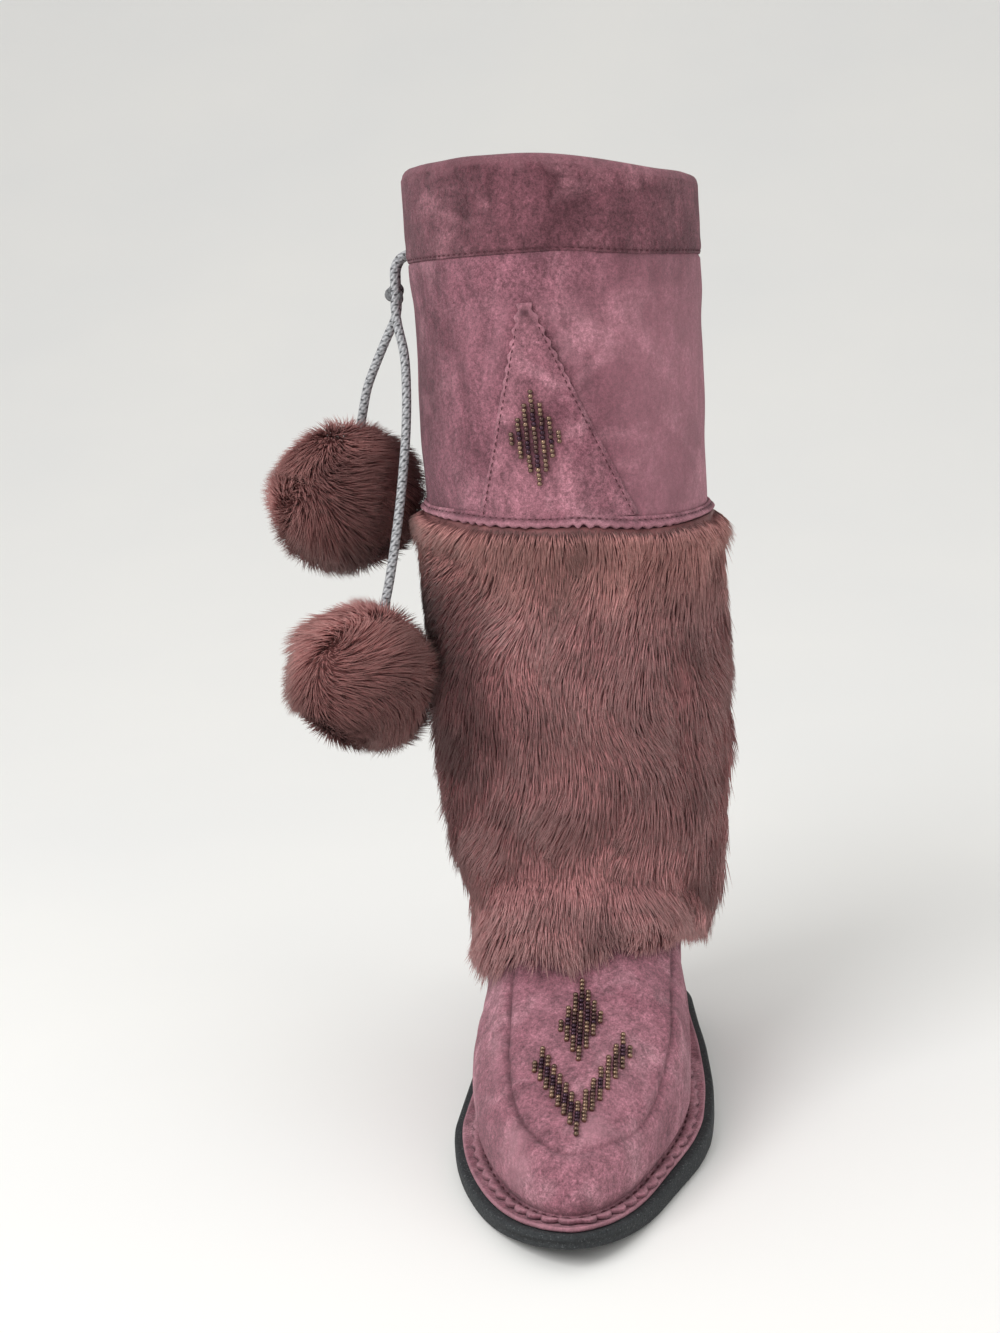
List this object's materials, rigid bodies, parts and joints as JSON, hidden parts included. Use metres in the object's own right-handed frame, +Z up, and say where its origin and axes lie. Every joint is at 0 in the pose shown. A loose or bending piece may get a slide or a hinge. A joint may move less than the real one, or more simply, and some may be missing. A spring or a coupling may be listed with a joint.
{
  "type": "mukluk boot",
  "caption": "Suede mukluk boot with a flat rubber sole, beaded apron, fur sleeve round the ankle, plain turned cuff and a drawstring with fur pompoms.",
  "frame": {"origin": "on the floor, under the middle of the boot's box, measured without the drawstring and its pompoms", "axes": "+Z up along the shaft, -Y toward the toe, +X toward the inner ankle"},
  "size_m": [0.1942, 0.2699, 0.3929],
  "materials": {
    "suede": "brushed nap, dusty rose",
    "suede_cuff": "brushed nap, darker rose",
    "fur": "dense hair, brown rose with pale tips",
    "pompom_fur": "long soft hair, brown rose",
    "lining_pile": "short plush pile",
    "sole_rubber": "matte, fine fleck",
    "cord": "round braid, silver grey with dark flecks",
    "beads": "metallic iris brown"
  },
  "bodies": {
    "root": {"outsole": "sole_rubber", "insole": "lining_pile", "upper": "suede", "apron": "suede", "welt_strip": "suede", "cuff": "suede_cuff", "gusset": "suede", "fur_trim": "suede", "fur_sleeve": "fur", "beadwork_shaft": "beads", "beadwork_diamond": "beads", "beadwork_chevron": "beads", "cord_a_top": "cord", "cord_b_top": "cord", "drawstring_knot": "cord", "cord_a": "cord", "cord_b": "cord", "pompom_a": "pompom_fur", "pompom_b": "pompom_fur"}
  },
  "joints": []
}
